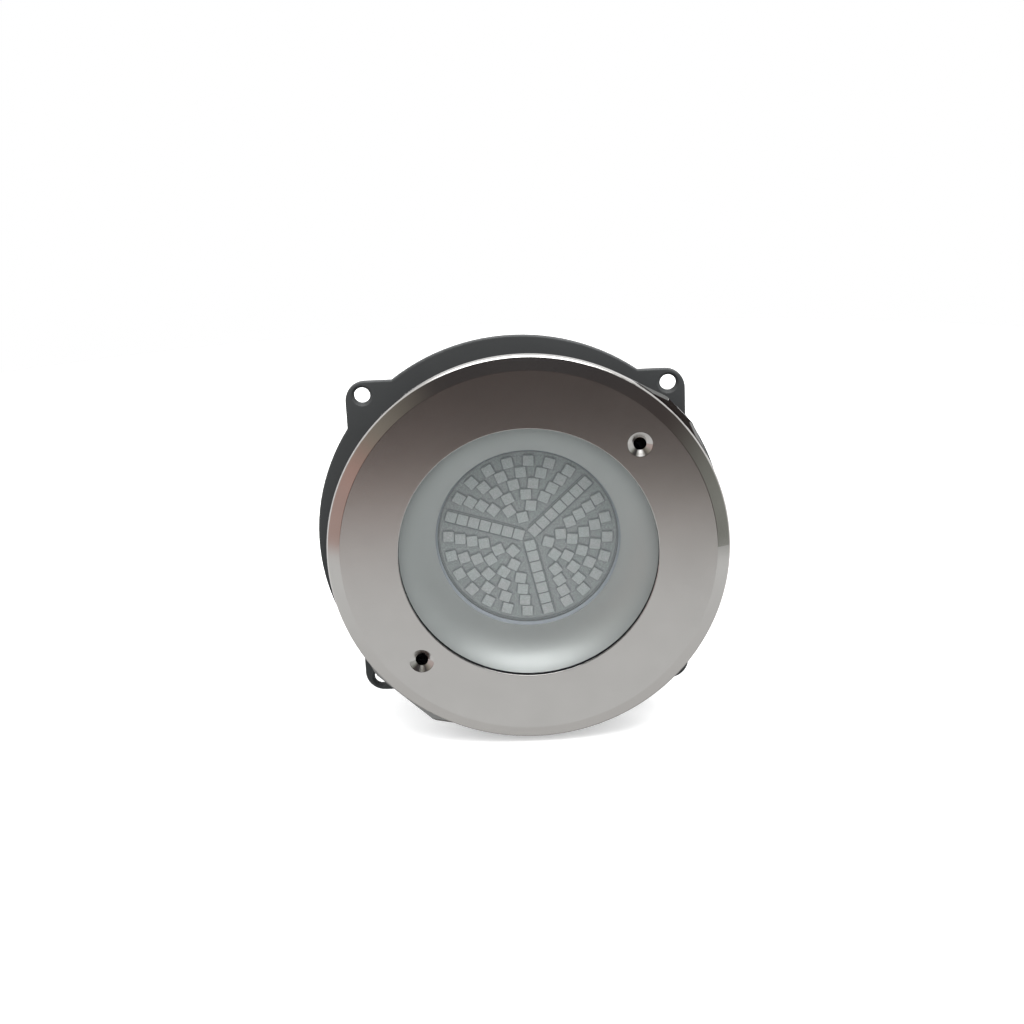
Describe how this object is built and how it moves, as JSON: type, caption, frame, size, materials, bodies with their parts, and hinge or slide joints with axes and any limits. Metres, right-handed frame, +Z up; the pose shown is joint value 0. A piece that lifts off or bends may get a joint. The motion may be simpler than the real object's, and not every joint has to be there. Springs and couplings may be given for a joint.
{
  "type": "underwater pool light",
  "caption": "Round underwater pool light: a steel-faced LED lamp unit with a reflector bowl behind glass, seated in a plastic wall niche with four corner lugs.",
  "frame": {"origin": "centre of the four wall-lug holes, on the back face of the niche flange", "axes": "the lamp looks along -Y, +Z is up and +X is to the viewer's right; the niche goes into the wall along +Y"},
  "size_m": [0.2068, 0.1528, 0.2068],
  "materials": {
    "niche_plastic": "moulded charcoal plastic",
    "conduit_plastic": "grey moulded plastic",
    "black_nylon": "moulded nylon",
    "face_steel": "fine satin stainless steel",
    "polished_steel": "polished stainless steel",
    "screw_steel": "plain stainless steel",
    "insert_brass": "turned brass",
    "black_rubber": "silicone rubber",
    "grey_rubber": "silicone rubber",
    "front_glass": "clear tempered glass",
    "window_sheet": "clear polycarbonate",
    "bowl_coating": "satin metallised plastic",
    "spacer_plastic": "translucent bluish-white plastic",
    "board_mask": "grey solder mask on aluminium",
    "rib_plastic": "dark grey plastic",
    "led_package": "white LED package",
    "pad_silicone": "silicone thermal pad",
    "sink_aluminium": "bare aluminium",
    "housing_plastic": "moulded black plastic",
    "circuit_green": "green solder mask",
    "capacitor_can": "sleeved can",
    "ferrite": "ferrite",
    "copper_wire": "enamelled copper",
    "chip_plastic": "moulded chip",
    "terminal_plastic": "green terminal block",
    "lead_insulation": "insulated wire"
  },
  "bodies": {
    "niche": {"niche_shell": "niche_plastic", "screw_inserts": "insert_brass", "conduit_adaptor": "conduit_plastic", "conduit_seal": "black_rubber", "conduit_locknut": "conduit_plastic"},
    "lamp": {"bezel": "face_steel", "bezel_back_ring": "polished_steel", "bezel_studs": "screw_steel", "stud_screws": "screw_steel", "lens_gasket": "black_rubber", "lens_glass": "front_glass", "glass_seat_seal": "grey_rubber", "reflector": "bowl_coating", "reflector_screws": "screw_steel", "led_window": "window_sheet", "window_ring": "spacer_plastic", "window_spacer": "black_nylon", "led_board": "board_mask", "led_channel_ribs": "rib_plastic", "leds_on_spokes": "led_package", "leds_sector_1": "led_package", "leds_sector_2": "led_package", "leds_sector_3": "led_package", "thermal_pad": "pad_silicone", "heat_sink": "sink_aluminium", "heat_sink_screws": "screw_steel", "lamp_housing": "housing_plastic", "driver_board": "circuit_green", "driver_capacitors": "capacitor_can", "driver_transformer_core": "ferrite", "driver_transformer_winding": "copper_wire", "driver_inductor": "copper_wire", "driver_chips": "chip_plastic", "driver_terminal": "terminal_plastic", "driver_screws": "screw_steel", "led_leads": "lead_insulation", "cable_gland": "black_nylon", "gland_washer": "black_rubber", "gland_locknut": "black_nylon", "gland_seal": "grey_rubber", "gland_cap": "black_nylon"}
  },
  "joints": [
    {"name": "lamp_pull_out", "type": "slide", "parent": "niche", "child": "lamp", "axis": [0, -1, 0], "range_m": [0, 0.13]}
  ]
}
